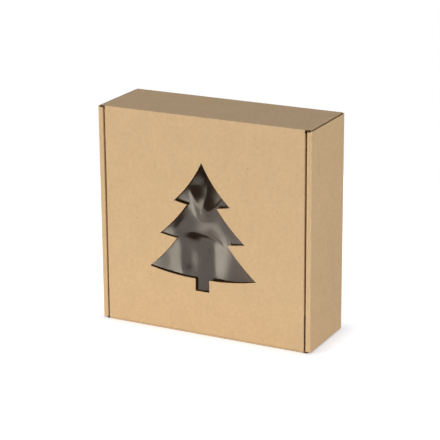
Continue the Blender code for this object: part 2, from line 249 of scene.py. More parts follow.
class StudioSettings(bpy.types.PropertyGroup):
    """The white table, the light and the camera."""

    table_colour: colour("Table Colour", "White table top", "F2F2F2")
    table_glow: number("Table Glow", "What the camera sees added to the lit table", 0.68)
    # Less glow beside the box's foot: a painted contact shadow on the table
    painted_shadow_glow: number("Painted Shadow Glow", "The same right beside the box's foot", 0.38)
    painted_shadow_reach: length("Painted Shadow Reach", "How far from the foot it glows less", 0.03)
    table_radius: length("Table Radius", "From its middle to its edge", 0.8)
    table_bright: length("Table Bright", "How far out it mirrors in full", 0.48)
    table_bounce: number("Table Bounce", "Light thrown back on the box", 0.28)
    bounce_reach: length("Bounce Reach", "How far out it throws light back", 0.45)
    mirrored_glow: colour("Mirrored Glow", "What the film sees added to the table", "A8957C")
    room_light: number("Room Light", "Light on the box from all round", 0.545)
    room_colour: colour("Room Colour", "Cool light of the room", "E3EEFF")
    lamp_colour: colour("Lamp Colour", "Warm light of both lamps", "FFF9E8")
    # Painted shade inside the box: this share of the room's light that reaches the inside through the film is
    # taken away
    inside_painted_shade: number("Inside Painted Shade", "Share of the room's light that the film keeps out", 0.62)
    room_mirrored: number("Room Mirrored", "How bright the mirrored room is", 0.04)
    window_light: number("Window Light", "How bright the mirrored window is", 2.4)
    window_colour: colour("Window Colour", "Warm light of the window", "FFF4DF")
    window_width: number("Window Width", "Half of the window's width, as a slant", 0.18)
    window_azimuth: angle("Window Azimuth", "Way to the window, right of the front", -42)
    key_light: number("Key Light", "Light of the large lamp on the left", 0.75)
    key_azimuth: angle("Key Azimuth", "Way to the key lamp, right of the front", -50)
    key_elevation: angle("Key Elevation", "Height of the key lamp", 8)
    side_light: number("Side Light", "Light of the lamp on the right", 0.325)
    side_azimuth: angle("Side Azimuth", "Way to the side lamp, right of the front", 78)
    side_elevation: angle("Side Elevation", "Height of the side lamp", 0)
    camera_azimuth: angle("Camera Azimuth", "Way to the camera, right of the front", 27.06)
    camera_elevation: angle("Camera Elevation", "Height of the camera", 17.88)
    camera_roll: angle("Camera Roll", "Turn about its own line of sight", -0.41)
    camera_distance: length("Camera Distance", "From the camera to the box's middle", 2.390)
    camera_lens: number("Camera Lens", "Focal length in mm, on a 36 mm sensor", 144.5)
    aim_right: length("Aim Right", "How far right of the box's middle it aims", -0.0011)
    aim_up: length("Aim Up", "How far above the box's middle it aims", -0.0032)


def add_object(name, data, material=None):
    """Puts a mesh, lamp or camera into the scene under its name."""
    obj = bpy.data.objects.new(name, data)
    bpy.context.scene.collection.objects.link(obj)
    if material:
        data.materials.append(material)
    return obj


def mesh_of(name, points, faces, smooth=None):
    """A mesh of points and faces, smooth below this angle if one is given."""
    mesh = bpy.data.meshes.new(name)
    mesh.from_pydata([tuple(point) for point in points], [], faces)
    shape = bmesh.new()
    shape.from_mesh(mesh)
    bmesh.ops.recalc_face_normals(shape, faces=shape.faces)
    shape.to_mesh(mesh)
    shape.free()
    if smooth:
        mesh.shade_smooth()
        mesh.set_sharp_from_angle(angle=smooth)
    return mesh


class Panel:
    """The flat part of a CAD board, in its own directions: along the flutes, across and out."""

    def __init__(self, node):
        self.node = node
        self.body = PANEL_BODIES[node]
        shape = bmesh.new()
        shape.from_mesh(frame["nodes"][node].data)
        bmesh.ops.remove_doubles(shape, verts=shape.verts, dist=WELD)
        widest = max(shape.faces, key=lambda face: face.calc_area())
        sides = [
            [face for face in shape.faces if face.normal.dot(way) > SAME_WAY]
            for way in (widest.normal, -widest.normal)
        ]
        # The back is the smaller side, or of two alike the one that faces the box's middle
        areas = [sum(face.calc_area() for face in side) for side in sides]
        if abs(areas[0] - areas[1]) < SAME_AREA * areas[0]:
            back = min(
                sides,
                key=lambda side: side[0].normal.dot(side[0].calc_center_median() - BOX_MIDDLE),
            )
        else:
            back = sides[areas.index(min(areas))]
        self.out = -back[0].normal.copy()
        flutes = Y if node in FLUTES_ALONG_Y else Z
        self.along = (flutes - self.out * flutes.dot(self.out)).normalized()
        self.across = self.out.cross(self.along)
        self.back_at = back[0].verts[0].co.dot(self.out)
        self.front_at = max(vert.co.dot(self.out) for vert in shape.verts)
        self.board = self.front_at - self.back_at
        corners = list(dict.fromkeys(vert for face in back for vert in face.verts))
        self.flat = [vert.co.copy() for vert in corners]
        place = {vert: i for i, vert in enumerate(corners)}
        self.tiles = [[place[vert] for vert in reversed(face.verts)] for face in back]
        runs = {(tile[i - 1], tile[i]) for tile in self.tiles for i in range(len(tile))}
        self.rim = sorted(run for run in runs if run[::-1] not in runs)
        shape.free()

    def reach(self, way):
        """The lowest and highest places of the flat part in this direction."""
        places = [corner.dot(way) for corner in self.flat]
        return min(places), max(places)

    def layer(self, name, low, high):
        """A closed slab with the flat part's outline, between two heights above its back.

        The faces of its cut edge use the second material, the medium's darker colour: partly the torn fibres of
        the cut, partly painted shade of the seams.
        """
        under = [corner + self.out * low for corner in self.flat]
        over = [corner + self.out * high for corner in self.flat]
        count = len(self.flat)
        faces = [tuple(i + count for i in tile) for tile in self.tiles]
        faces += [tuple(reversed(tile)) for tile in self.tiles]
        faces += [(a, b, b + count, a + count) for a, b in self.rim]
        mesh = mesh_of(name, under + over, faces)
        for face in mesh.polygons:
            face.material_index = int(face.index >= 2 * len(self.tiles))
        return mesh

    def flutes(self, name, low, high, paper, pitch):
        """A waved sheet of paper between two heights, larger than the flat part."""
        near, far = self.reach(self.along)
        left, right = self.reach(self.across)
        near, far = near - OVERRUN, far + OVERRUN
        steps = math.ceil((right - left + 2 * OVERRUN) / pitch) * FLUTE_STEPS
        middle = (low + high) / 2
        swing = (high - low - paper) / 2
        points = []
        for k in range(steps + 1):
            side = left - OVERRUN + pitch * k / FLUTE_STEPS
            height = self.back_at + middle + swing * math.cos(math.tau * k / FLUTE_STEPS)
            for end in (near, far):
                for half in (-paper / 2, paper / 2):
                    points.append(
                        self.along * end + self.across * side + self.out * (height + half)
                    )
        faces = [(0, 1, 3, 2), (4 * steps, 4 * steps + 1, 4 * steps + 3, 4 * steps + 2)]
        for k in range(steps):
            here, there = 4 * k, 4 * k + 4
            for a, b in ((0, 1), (1, 3), (3, 2), (2, 0)):
                faces.append((here + a, here + b, there + b, there + a))
        return mesh_of(name, points, faces)

    def map_board(self, mesh):
        """Gives a mesh the board's own coordinates, in metres, for its patterns."""
        shift = self.out.dot(PATTERN_SHIFT) + self.back_at
        places = mesh.uv_layers.new(name=BOARD_MAP)
        for loop in mesh.loops:
            point = mesh.vertices[loop.vertex_index].co
            place = (point.dot(self.along) + shift, point.dot(self.across) - shift)
            places.data[loop.index].uv = place


def trimmed(mesh, tool):
    """The part of a mesh that lies inside another one."""
    piece, cutter = add_object("trimmed", mesh), add_object("cutter", tool)
    boolean = piece.modifiers.new("Trim", "BOOLEAN")
    boolean.operation = "INTERSECT"
    boolean.solver = "EXACT"
    boolean.object = cutter
    bpy.context.view_layer.update()
    state = bpy.context.evaluated_depsgraph_get()
    result = bpy.data.meshes.new_from_object(piece.evaluated_get(state))
    bpy.data.objects.remove(piece)
    bpy.data.objects.remove(cutter)
    if not result.polygons:
        raise RuntimeError(f"{mesh.name} came out empty")
    return result


def add_node(tree, kind, inputs=(), output=0, **settings):
    """Adds a node with its settings, and gives one of its outputs.

    The inputs come in order, or by name or number. Each is a value, or a socket to link.
    """
    node = tree.nodes.new(f"ShaderNode{kind}")
    for name, value in settings.items():
        setattr(node, name, value)
    for place, value in inputs.items() if isinstance(inputs, dict) else enumerate(inputs):
        socket = node.inputs[place]
        if isinstance(value, bpy.types.NodeSocket):
            tree.links.new(value, socket)
        elif socket.type == "RGBA":
            socket.default_value = (*value, 1)
        else:
            socket.default_value = value
    return node.outputs[output]


def new_material(name):
    """An empty material, its node tree, and the socket for its surface."""
    material = bpy.data.materials.new(name)
    material.use_nodes = True
    tree = material.node_tree
    tree.nodes.clear()
    return material, tree, tree.nodes.new("ShaderNodeOutputMaterial").inputs["Surface"]


def kraft_liner(name, paper, settings):
    """Unbleached kraft liner, uncoated and calendered.

    Kraft paper keeps its brown pulp, so its colour is cloudy where the fibres bunched on the
    wire, in patches of a few millimetres. Bark specks and pale fibres lie among them, and the
    paper has almost no shine.
    """
    material, tree, surface = new_material(name)
    place = add_node(tree, "UVMap", uv_map=BOARD_MAP)
    in_mm = add_node(tree, "VectorMath", {0: place, "Scale": 1 / MM}, operation="SCALE")
    # Clouds, patches and, last, the fibres' clumps, which roughen the paper too; sizes in mm
    shade = 1.0
    for size, detail, swing in ((26, 2.0, 0.025), (5.5, 3.0, 0.048), (0.9, 3.0, 0.03)):
        clouds = {"Vector": in_mm, "Scale": 1 / size, "Detail": detail, "Roughness": 0.6}
        fibres = add_node(tree, "TexNoise", clouds)
        share = add_node(tree, "MapRange", (fibres, *NOISE_RANGE, 1 - swing, 1 + swing))
        shade = add_node(tree, "Math", (shade, share), operation="MULTIPLY")
    tinted = add_node(tree, "VectorMath", {0: paper, "Scale": shade}, operation="SCALE")

    # Real specks are 0.2 to 0.6 mm; these are up to 1 mm, so that they show in the render
    # Each kind's spacing and radius in mm, which of them are left out, and how well they cover
    for spacing, radius, least, fade, tone in (
        (11.0, 0.85, 0.50, 0.90, settings.speck_colour),
        (4.6, 0.55, 0.70, 0.45, settings.speck_colour),
        (7.4, 0.90, 0.55, 0.50, settings.fleck_colour),
    ):
        cells = add_node(tree, "TexVoronoi", {"Vector": in_mm, "Scale": 1 / spacing}).node.outputs
        rim = radius / spacing
        spot = add_node(tree, "MapRange", (cells["Distance"], 0.5 * rim, rim, fade, 0))
        picked = add_node(tree, "SeparateColor", (cells["Color"],))
        chosen = add_node(tree, "Math", (picked, least), operation="GREATER_THAN")
        share = add_node(tree, "Math", (spot, chosen), operation="MULTIPLY")
        tinted = add_node(tree, "Mix", {0: share, 6: tinted, 7: tone}, 2, data_type="RGBA")

    looks = {
        "Base Color": tinted,
        "Metallic": 0.0,
        "IOR": 1.45,
        "Specular IOR Level": 0.25,
        "Roughness": add_node(tree, "MapRange", (fibres, *NOISE_RANGE, 0.82, 0.95)),
        "Normal": add_node(tree, "Bump", {"Strength": 0.5, "Distance": 0.04 * MM, "Height": fibres}),
    }
    tree.links.new(add_node(tree, "BsdfPrincipled", looks), surface)
    return material


def cloudy_material(name, tone, dark, size, limits, rise, looks):
    """A material with clouds of this size and rise, in mm, down to this share of its tone."""
    material, tree, surface = new_material(name)
    place = add_node(tree, "TexCoord", output="Object")
    clouds = add_node(tree, "TexNoise", {"Vector": place, "Scale": 1 / (size * MM), "Detail": 3.0})
    tones = {0: add_node(tree, "MapRange", (clouds, *limits)), 6: tone * dark, 7: tone}
    looks["Base Color"] = add_node(tree, "Mix", tones, 2, data_type="RGBA")
    bump = {"Strength": 0.5, "Distance": rise * MM, "Height": clouds}
    looks["Normal"] = add_node(tree, "Bump", bump)
    tree.links.new(add_node(tree, "BsdfPrincipled", looks), surface)
    return material


def fluted_medium(settings):
    """Fluting medium, pressed semi-chemical pulp: darker, rougher and duller than the liner. On the board's cut
    edges it is partly painted shade of the seams.
    """
    looks = {"Metallic": 0.0, "Roughness": 0.95, "IOR": 1.45, "Specular IOR Level": 0.2}
    return cloudy_material(MEDIUM, settings.medium_colour, 0.72, 0.9, NOISE_RANGE, 0.08, looks)


def dried_glue(settings):
    """Dispersion glue, rolled on and dried: milky, half clear and slightly uneven."""
    name, tone = "dispersion_glue_dried", settings.glue_colour
    looks = {"Metallic": 0.0, "Roughness": 0.35, "IOR": 1.47, "Transmission Weight": 0.35}
    return cloudy_material(name, tone, 0.82, 2.5, (0.35, 0.65), 0.1, looks)


def clear_film(settings):
    """Clear polyester film, 30 to 50 microns, glossy on both sides.

    It mirrors about a tenth of the light at its two faces, so the white table and the window of
    the room show in it as veils and streaks wherever it's creased. It is too thin to bend the
    light, so the lamps shine straight through it.
    """
    material, tree, surface = new_material("polyester_film_clear")
    place = add_node(tree, "TexCoord", output="Object")
    haze = add_node(tree, "TexNoise", {"Vector": place, "Scale": 1 / (18 * MM), "Detail": 2.0})
    low, high = 0.7 * settings.film_roughness, 1.5 * settings.film_roughness
    looks = {
        "Base Color": settings.film_colour,
        "Metallic": 0.0,
        "IOR": 1.58,
        "Transmission Weight": 1.0,
        "Roughness": add_node(tree, "MapRange", (haze, *NOISE_RANGE, low, high)),
    }
    glossy = add_node(tree, "BsdfPrincipled", looks)
    clear = add_node(tree, "BsdfTransparent")
    shade = add_node(tree, "LightPath", output="Is Shadow Ray")
    tree.links.new(add_node(tree, "MixShader", (shade, glossy, clear)), surface)
    return material


def board_material(name):
    """The board's material of this name, made the first time it's asked for."""
    board = bpy.context.scene.gift_box_board
    if name in bpy.data.materials:
        return bpy.data.materials[name]
    if name == MEDIUM:
        return fluted_medium(board)
    tones = {LINER: board.liner_colour, CREASED: board.crease_colour}
    return kraft_liner(name, tones[name], board)


def dress_board(node):
    """Replaces a CAD board with its two liners and the fluted paper between them."""
    board = bpy.context.scene.gift_box_board
    panel = Panel(node)
    for name, low, high in (
        ("outer_liner", panel.board - board.liner, panel.board),
        ("inner_liner", 0.0, board.liner),
    ):
        mesh = panel.layer(f"{node}_{name}", low, high)
        panel.map_board(mesh)
        liner = add_object(f"{node}_{name}", mesh, board_material(LINER))
        # The liners' cut edges get the medium: partly torn fibres, partly painted shade of the seams
        mesh.materials.append(board_material(MEDIUM))
        place_piece(liner, panel.body, "kraft_board", node)
    low, high = board.liner, panel.board - board.liner
    wave = panel.flutes(f"{node}_flutes", low, high, board.medium, board.flute_pitch)
    wave = trimmed(wave, panel.layer("core", low, high))
    wave.shade_smooth()
    wave.set_sharp_from_angle(angle=math.radians(50))
    flutes = add_object(f"{node}_flutes", wave, board_material(MEDIUM))
    place_piece(flutes, panel.body, "kraft_board", node)


def place_piece(obj, body, slot, *nodes):
    """Says which body a piece rides on and the CAD nodes it stands for; its finish, slot, is not used."""
    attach(obj, body)
    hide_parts(*nodes)


def band(name, section, way, start, end):
    """A closed band with this section, from start to end in one direction.

    The faces of its cut ends use the second material, the medium's darker colour: partly the board's cut section,
    partly painted shade of the seams.
    """
    base = [point - way * point.dot(way) for point in section]
    count = len(base)
    points = [point + way * start for point in base] + [point + way * end for point in base]
    faces = [tuple(range(count)), tuple(reversed(range(count, 2 * count)))]
    for i in range(count):
        j = (i + 1) % count
        faces.append((i, i + count, j + count, j))
    mesh = mesh_of(name, points, faces, smooth=math.radians(35))
    for face in mesh.polygons:
        face.material_index = int(face.index < 2)
    return mesh


def add_crease(mesh, panel):
    """Puts a band of bent board into the scene, its pattern going on from a panel's."""
    panel.map_board(mesh)
    crease = add_object(mesh.name, mesh, board_material(CREASED))
    # The crease's cut ends get the medium: partly the board's section, partly painted shade of the seams
    mesh.materials.append(board_material(MEDIUM))
    return crease


def arc(middle, start, end, radius):
    """Points of an arc about a middle, from one direction to another."""
    sweep = start.angle(end)
    points = []
    for k in range(ARC_STEPS + 1):
        share = k / ARC_STEPS
        a = math.sin((1 - share) * sweep) / math.sin(sweep)
        b = math.sin(share * sweep) / math.sin(sweep)
        points.append(middle + (start * a + end * b) * radius)
    return points


def fold_fixed_crease(first, second):
    """The bent board between two panels that stay square to each other."""
    radius = bpy.context.scene.gift_box_board.fold_radius
    a, b = Panel(first), Panel(second)
    way = a.out.cross(b.out)
    corner = a.out * a.front_at + b.out * b.front_at
    reach_a = b.front_at - a.reach(b.out)[1]
    reach_b = a.front_at - b.reach(a.out)[1]
    section = [corner - b.out * reach_a]
    section += arc(corner - (a.out + b.out) * radius, a.out, b.out, radius)
    section += [
        corner - a.out * reach_b,
        corner - a.out * reach_b - b.out * b.board,
        corner - a.out * a.board - b.out * b.board,
        corner - b.out * reach_a - a.out * a.board,
    ]
    full = [panel.reach(way) for panel in (a, b) if panel.node in FULL_LENGTH]
    reaches = full or [a.reach(way), b.reach(way)]
    start = max(reach[0] for reach in reaches)
    end = min(reach[1] for reach in reaches)
    if second in ("hinge_wall", "front_wall"):
        start, end = start - CORNER, end + CORNER
    mesh = band(f"{first}_to_{second}_crease", section, way, start, end)
    place_piece(add_crease(mesh, a), a.body, "kraft_board")


def half_round(middle, out, away, radius):
    """Points of a half circle, from one side through a direction to the other side."""
    return arc(middle, out, away, radius) + arc(middle, away, -out, radius)[1:]


def close_raw_edge(node, way):
    """The liner that the knife pressed over a raw edge, as a low round bead."""
    panel = Panel(node)
    half = panel.board / 2 - BEAD_RISE
    middle = panel.out * (panel.back_at + panel.board / 2) + way * panel.reach(way)[1]
    section = [
        middle + point - way * (point.dot(way) * (1 - 2 * BEAD_DEPTH / half) + BEAD_DEPTH)
        - panel.out * (2 * BEAD_RISE)
        for point in half_round(Vector(), panel.out, way, half)
    ]
    along = way.cross(panel.out)
    low, high = Panel("lid_panel").reach(along)
    mesh = band(f"{node}_raw_edge", section, along, low - half, high + half)
    place_piece(add_crease(mesh, panel), panel.body, "kraft_board")


def fold_turning_crease(joint_name, ending, before):
    """The bent board between two panels that turn on each other.

    The first panel ends at the axis and carries a round nose, along the whole of its edge.
    The board between the nose and the second panel is what bends.
    """
    joint = next(joint for joint in frame["joints"] if joint["name"] == joint_name)
    axis_at, way = Vector(joint["pos_m"]), Vector(joint["axis"]).normalized()
    a, b = Panel(ending), Panel(before)
    half = a.board / 2
    past = way.cross(a.out)
    if past.dot(sum(a.flat, Vector()) / len(a.flat) - axis_at) > 0:
        past = -past
    ends = [corner.dot(way) for corner in a.flat if (corner - axis_at).dot(past) > -WELD]
    more = half if ending == "lid_panel" else 0
    name = f"{ending}_nose_at_{before}"
    section = half_round(axis_at, a.out, past, half)
    mesh = band(name, section, way, min(ends) - more, max(ends) + more)
    if before in DUST_FLAPS:
        low, high = a.reach(Z)
        for vertex in mesh.vertices:
            share = (vertex.co.z - low) / (high - low)
            blunt = NOSE_TAPER[0] * (1 - share) + NOSE_TAPER[1] * share
            ahead = (vertex.co - axis_at).dot(past)
            vertex.co += past * max(0, ahead) * (blunt - 1)
    place_piece(add_crease(mesh, a), a.body, "kraft_board")

    away = way.cross(b.out)
    if away.dot(sum(b.flat, Vector()) / len(b.flat) - axis_at) < 0:
        away = -away
    roots = sorted((corner - axis_at).dot(away) for corner in b.flat)
    root = next(place for place in roots if place > half)
    edge = [corner for corner in b.flat if (corner - axis_at).dot(away) < root + WELD]
    steps = [away * (root * k / BRIDGE_STEPS) for k in range(BRIDGE_STEPS + 1)]
    section = [axis_at + b.out * half + step for step in steps]
    section += [axis_at - b.out * half + step for step in reversed(steps)]
    start = max(min(corner.dot(way) for corner in edge), min(ends))
    end = min(max(corner.dot(way) for corner in edge), max(ends))
    mesh = band(f"{ending}_to_{before}_crease", section, way, start, end)
    crease = add_crease(mesh, a)
    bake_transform(crease)


def smooth(low, high, value):
    """0 below a range and 1 above it, with an even slope between."""
    share = min(1, max(0, (value - low) / (high - low)))
    return share * share * (3 - 2 * share)


def pleat(x, z, x0, z0, x1, z1, left, right, depth, fade=0.25, bow=0.0):
    """An uneven ridge from one place to another; left and right are its widths there.

    The bow sets its middle aside.
    """
    run = math.hypot(x1 - x0, z1 - z0)
    ahead = ((x - x0) * (x1 - x0) + (z - z0) * (z1 - z0)) / run**2
    ends = smooth(-fade, fade, ahead) * smooth(-fade, fade, 1 - ahead)
    if not ends:
        return 0.0
    aside = ((z - z0) * (x1 - x0) - (x - x0) * (z1 - z0)) / run - bow * 4 * ahead * (1 - ahead)
    aside = min(PLEAT_LIMIT, max(-PLEAT_LIMIT, aside))
    return 2 * depth * ends / (math.exp(aside / left) + math.exp(-aside / right))


def sag(x, z):
    """How far the film hangs into the box at a place, all in mm."""
    start, deepest, end = SAG_HEIGHTS
    depth = FILM_SAG * smooth(start, deepest, z) * (1 - smooth(deepest, end, z))
    depth *= 1 - ((x - SAG_MIDDLE) / SAG_HALF) ** 4
    for middle_x, middle_z, wide, high, deep in FILM_DENTS.values():
        off = ((x - middle_x) / wide) ** 2 + ((z - middle_z) / high) ** 2
        depth += deep * math.exp(-off)
    return depth + sum(pleat(x, z, *line) for line in FILM_PLEATS.values())


class GIFTBOX_OT_base(bpy.types.Operator):
    """The back of the standing box, with the four slots that lock the side walls"""

    bl_idname = "gift_box.base"
    bl_label = "Base Panel"

    def execute(self, context):
        dress_board("base_panel")
        return {"FINISHED"}


class GIFTBOX_OT_walls(bpy.types.Operator):
    """The hinge wall, the front wall and the two outer side walls"""

    bl_idname = "gift_box.walls"
    bl_label = "Walls"

    def execute(self, context):
        for node in WALLS:
            dress_board(node)
        close_raw_edge("front_wall", -Y)
        return {"FINISHED"}


class GIFTBOX_OT_rolls(bpy.types.Operator):
    """The ridges that the side walls roll over, and the inner walls with their tabs"""

    bl_idname = "gift_box.rolls"
    bl_label = "Rolled Side Walls"

    def execute(self, context):
        for node in ROLLS:
            dress_board(node)
        return {"FINISHED"}


class GIFTBOX_OT_corner_flaps(bpy.types.Operator):
    """The four flaps that the rolled side walls clamp"""

    bl_idname = "gift_box.corner_flaps"
    bl_label = "Corner Flaps"

    def execute(self, context):
        for node in CORNER_FLAPS:
            dress_board(node)
        return {"FINISHED"}


class GIFTBOX_OT_lid(bpy.types.Operator):
    """The lid with its tree-shaped window"""

    bl_idname = "gift_box.lid"
    bl_label = "Lid"

    def execute(self, context):
        dress_board("lid_panel")
        return {"FINISHED"}


class GIFTBOX_OT_lid_flaps(bpy.types.Operator):
    """The tuck flap with its two ears, and the two dust flaps"""

    bl_idname = "gift_box.lid_flaps"
    bl_label = "Lid Flaps"

    def execute(self, context):
        for node in LID_FLAPS:
            dress_board(node)
        return {"FINISHED"}


class GIFTBOX_OT_fixed_creases(bpy.types.Operator):
    """The twelve creases that stay folded"""

    bl_idname = "gift_box.fixed_creases"
    bl_label = "Fixed Creases"

    def execute(self, context):
        for panels in FIXED_CREASES:
            fold_fixed_crease(*panels)
        return {"FINISHED"}


class GIFTBOX_OT_turning_creases(bpy.types.Operator):
    """The six creases that bend when the lid opens"""

    bl_idname = "gift_box.turning_creases"
    bl_label = "Turning Creases"

    def execute(self, context):
        for crease in TURNING_CREASES:
            fold_turning_crease(*crease)
        return {"FINISHED"}


class GIFTBOX_OT_film(bpy.types.Operator):
    """The clear film behind the window, with its wrinkles"""

    bl_idname = "gift_box.film"
    bl_label = "Window Film"

    def execute(self, context):
        settings = context.scene.gift_box_window
        low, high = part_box("window_film")
        columns = round((high.x - low.x) / settings.film_step)
        rows = round((high.z - low.z) / settings.film_step)
        points, faces = [], []
        for face_y in (low.y, high.y):
            for j in range(rows + 1):
                for i in range(columns + 1):
                    x = low.x + (high.x - low.x) * i / columns
                    z = low.z + (high.z - low.z) * j / rows
                    edge = min(x - low.x, high.x - x, z - low.z, high.z - z)
                    free = smooth(FILM_HELD, FILM_FREE, edge)
                    inward = max(-FILM_SLACK, sag(x / MM, z / MM)) * MM
                    points.append((x, face_y + free * inward, z))
        across = columns + 1
        count = across * (rows + 1)
        for j in range(rows):
            for i in range(columns):
                a = j * across + i
                face = (a, a + 1, a + 1 + across, a + across)
                faces += [face, tuple(count + k for k in reversed(face))]
        rim = list(range(columns))
        rim += [columns + across * j for j in range(rows)]
        rim += [rows * across + columns - i for i in range(columns)]
        rim += [across * (rows - j) for j in range(rows)]
        for k, a in enumerate(rim):
            b = rim[(k + 1) % len(rim)]
            faces.append((a, b, b + count, a + count))
        mesh = mesh_of("window_film_wrinkled", points, faces, smooth=math.radians(40))
        film = add_object("window_film_wrinkled", mesh, clear_film(settings))
        place_piece(film, "lid", "clear_film", "window_film")
        return {"FINISHED"}


class GIFTBOX_OT_glue(bpy.types.Operator):
    """The line of glue that holds the film to the lid"""

    bl_idname = "gift_box.glue"
    bl_label = "Film Glue"

    def execute(self, context):
        settings = context.scene.gift_box_window
        low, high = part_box("film_adhesive")
        half, thickness = GLUE_WIDTH / 2, high.y - low.y
        left, right, foot, top = low.x + half, high.x - half, low.z + half, high.z - half
        around = ((left, foot), (right, foot), (right, top), (left, top))
        corners = [Vector((x, 0, z)) for x, z in around]
        rings = []
        for k, corner in enumerate(corners):
            run = corners[(k + 1) % 4] - corner
            steps = round(run.length / GLUE_STEP)
            for step in range(steps):
                share = step / steps
                side = Vector((-run.z, 0, run.x)).normalized()
                middle = corner + run * share
                # Two waves make the rolled line wider and narrower, by up to an eighth
                ripple = math.sin(share * 61 + k) + 0.6 * math.sin(share * 143 + 2 * k)
                spread = half * (0.86 + 0.08 * ripple)
                if step == 0:  # A mitred corner, wider by the square root of 2
                    before = (corner - corners[k - 1]).normalized()
                    side = (side + Vector((-before.z, 0, before.x))).normalized()
                    spread *= math.sqrt(2)
                rings.append((middle, side, spread))
        profile = ((-1.0, 0.0), (-0.7, 0.8), (0.0, 1.0), (0.7, 0.8), (1.0, 0.0))
        points = []
        for middle, side, spread in rings:
            for place, rise in profile:
                point = middle + side * (spread * place)
                points.append((point.x, low.y + thickness * rise, point.z))
        faces = []
        size = len(profile)
        for k in range(len(rings)):
            here, there = k * size, (k + 1) % len(rings) * size
            for i in range(size):
                j = (i + 1) % size
                faces.append((here + i, here + j, there + j, there + i))
        mesh = mesh_of("glue_line", points, faces, smooth=math.radians(60))
        glue = add_object("glue_line", mesh, dried_glue(settings))
        place_piece(glue, "lid", "clear_glue", "film_adhesive")
        return {"FINISHED"}


def way_to(azimuth, elevation):
    """The direction from the box to a lamp or camera."""
    level = math.cos(elevation)
    return Vector((math.sin(azimuth) * level, -math.cos(azimuth) * level, math.sin(elevation)))


def add_lamp(name, tint, way, light, distance, width, height):
    """A soft lamp that lights a surface facing it as much as asked, where 1 shows its colour.

    The film doesn't mirror it: there the window and the light above stand for all lamps.
    """
    lamp = bpy.data.lights.new(name, "AREA")
    lamp.shape = "RECTANGLE"
    lamp.size, lamp.size_y = width, height
    lamp.color = tint
    lamp.energy = light * (math.pi * distance) ** 2
    obj = add_object(name, lamp)
    obj.location = BOX_MIDDLE + way * distance
    obj.rotation_euler = way.to_track_quat("Z", "Y").to_euler()
    obj.visible_glossy = obj.visible_transmission = False


def ways_seen(tree):
    """Tells rays apart, by four values that are 0 or 1.

    They are for what the camera sees, straight or through the film, for what either face of the
    film mirrors, for light thrown on a surface, and for light that reaches it through the film.
    """
    path = add_node(tree, "LightPath").node.outputs
    crossing = path["Is Transmission Ray"]
    direct = add_node(tree, "Math", (path["Diffuse Depth"], 0.5), operation="LESS_THAN")
    passed = add_node(tree, "Math", (crossing, direct), operation="MULTIPLY")
    straight = add_node(tree, "Math", (path["Glossy Depth"], 0.5), operation="LESS_THAN")
    through = add_node(tree, "Math", (passed, straight), operation="MULTIPLY")
    seen = add_node(tree, "Math", (path["Is Camera Ray"], through), operation="MAXIMUM")
    back = add_node(tree, "Math", (passed, through), operation="SUBTRACT")
    faces = (path["Is Glossy Ray"], path["Is Reflection Ray"], back)
    mirrored = add_node(tree, "Math", faces, operation="MULTIPLY_ADD")
    within = add_node(tree, "Math", (crossing, passed), operation="SUBTRACT")
    return seen, mirrored, path["Is Diffuse Ray"], within


def window_light(tree, place, studio):
    """The light of a tall soft window, by the way to a place, and how far ahead that is."""
    front, right = (way_to(studio.window_azimuth + turn, 0) for turn in (0, math.pi / 2))
    ahead, aside = (
        add_node(tree, "VectorMath", (place, way), "Value", operation="DOT_PRODUCT")
        for way in (front, right)
    )
    light = aside
    for operation, value in (
        ("DIVIDE", add_node(tree, "Math", (ahead, 0.001), operation="MAXIMUM")),
        ("DIVIDE", studio.window_width),
        ("POWER", 2.0),
        ("MULTIPLY", -1.0),
        ("EXPONENT", 0.0),
        ("MULTIPLY", studio.window_light),
    ):
        light = add_node(tree, "Math", (light, value), operation=operation)
    return light, ahead


